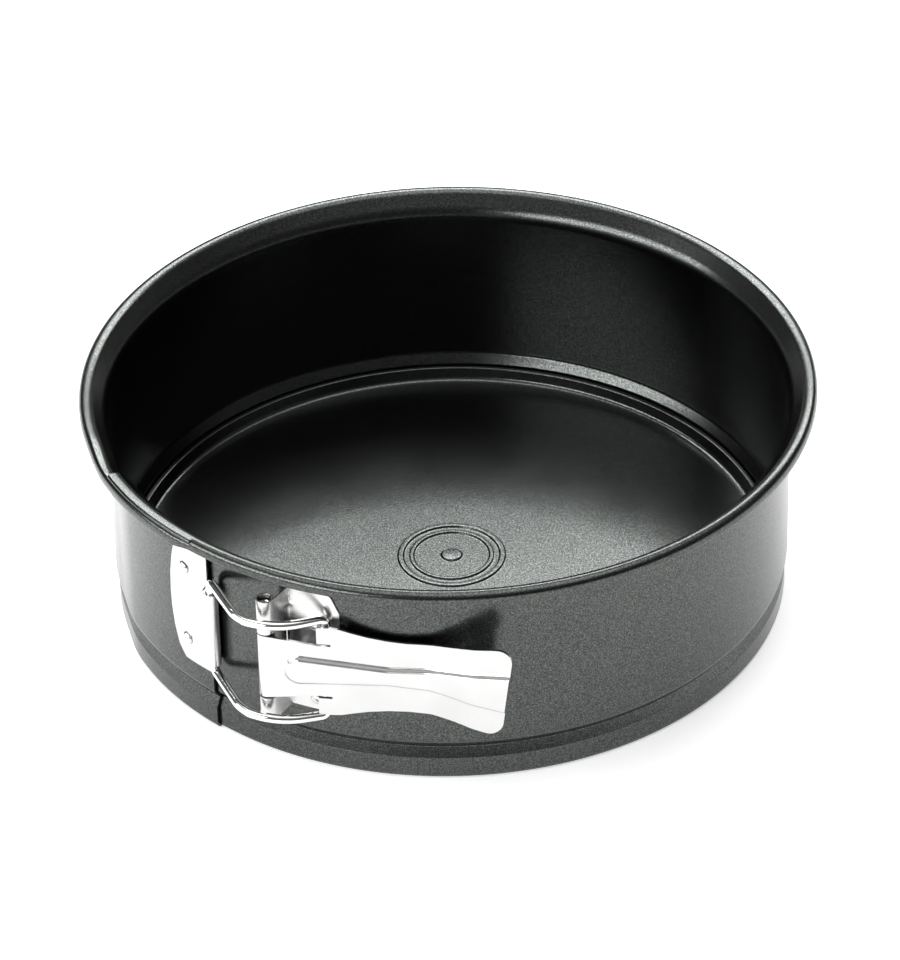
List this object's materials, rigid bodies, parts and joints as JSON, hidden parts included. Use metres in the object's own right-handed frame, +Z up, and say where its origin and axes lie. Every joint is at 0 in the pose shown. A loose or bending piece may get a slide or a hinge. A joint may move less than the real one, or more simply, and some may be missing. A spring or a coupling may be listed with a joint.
{
  "type": "springform pan",
  "caption": "Round cake pan with a loose base plate and a split side band that an over-centre lever latch with a bail wire draws shut and lets spring open.",
  "frame": {"origin": "on the pan's axis, in the plane that its foot stands on", "axes": "+Z up along the pan's axis, -Y towards the front, where the latch sits to the left of the middle"},
  "size_m": [0.1954, 0.1993, 0.0637],
  "materials": {
    "coated_steel": "satin dark grey non-stick coating with a fine metallic fleck",
    "tinned_steel": "bright smooth tinplate",
    "bright_wire": "bright drawn wire"
  },
  "bodies": {
    "fixed_side": {"band_right": "coated_steel", "latch_bracket": "tinned_steel", "bracket_rivet_lower": "tinned_steel", "bracket_rivet_upper": "tinned_steel", "hinge_pin": "bright_wire"},
    "spring_side": {"band_left": "coated_steel", "catch_plate": "tinned_steel", "catch_rivet_lower": "tinned_steel", "catch_rivet_upper": "tinned_steel"},
    "lever": {"latch_lever": "tinned_steel"},
    "bail": {"bail_wire": "bright_wire"},
    "base": {"base_plate": "coated_steel"}
  },
  "joints": [
    {"name": "lever_hinge", "type": "hinge", "parent": "fixed_side", "child": "lever", "pos_m": [-0.04757, -0.08373, 0.0343], "axis": [0, 0, -1], "range_deg": [0, 120]},
    {"name": "band_spring", "type": "hinge", "parent": "fixed_side", "child": "spring_side", "pos_m": [0, 0.0977, 0.032], "axis": [0, 0, -1], "range_deg": [0, 3.33]},
    {"name": "bail_pivot", "type": "hinge", "parent": "spring_side", "child": "bail", "pos_m": [-0.06183, -0.0694, 0.0355], "axis": [0, 0, -1], "range_deg": [0, 31]},
    {"name": "base_lift", "type": "slide", "parent": "fixed_side", "child": "base", "axis": [0, 0, 1], "range_m": [0, 0.08]}
  ],
  "couplings": [
    {"joint": "band_spring", "follows": "lever_hinge", "ratio": 0.027662},
    {"joint": "bail_pivot", "follows": "lever_hinge", "ratio": 0.25776}
  ]
}
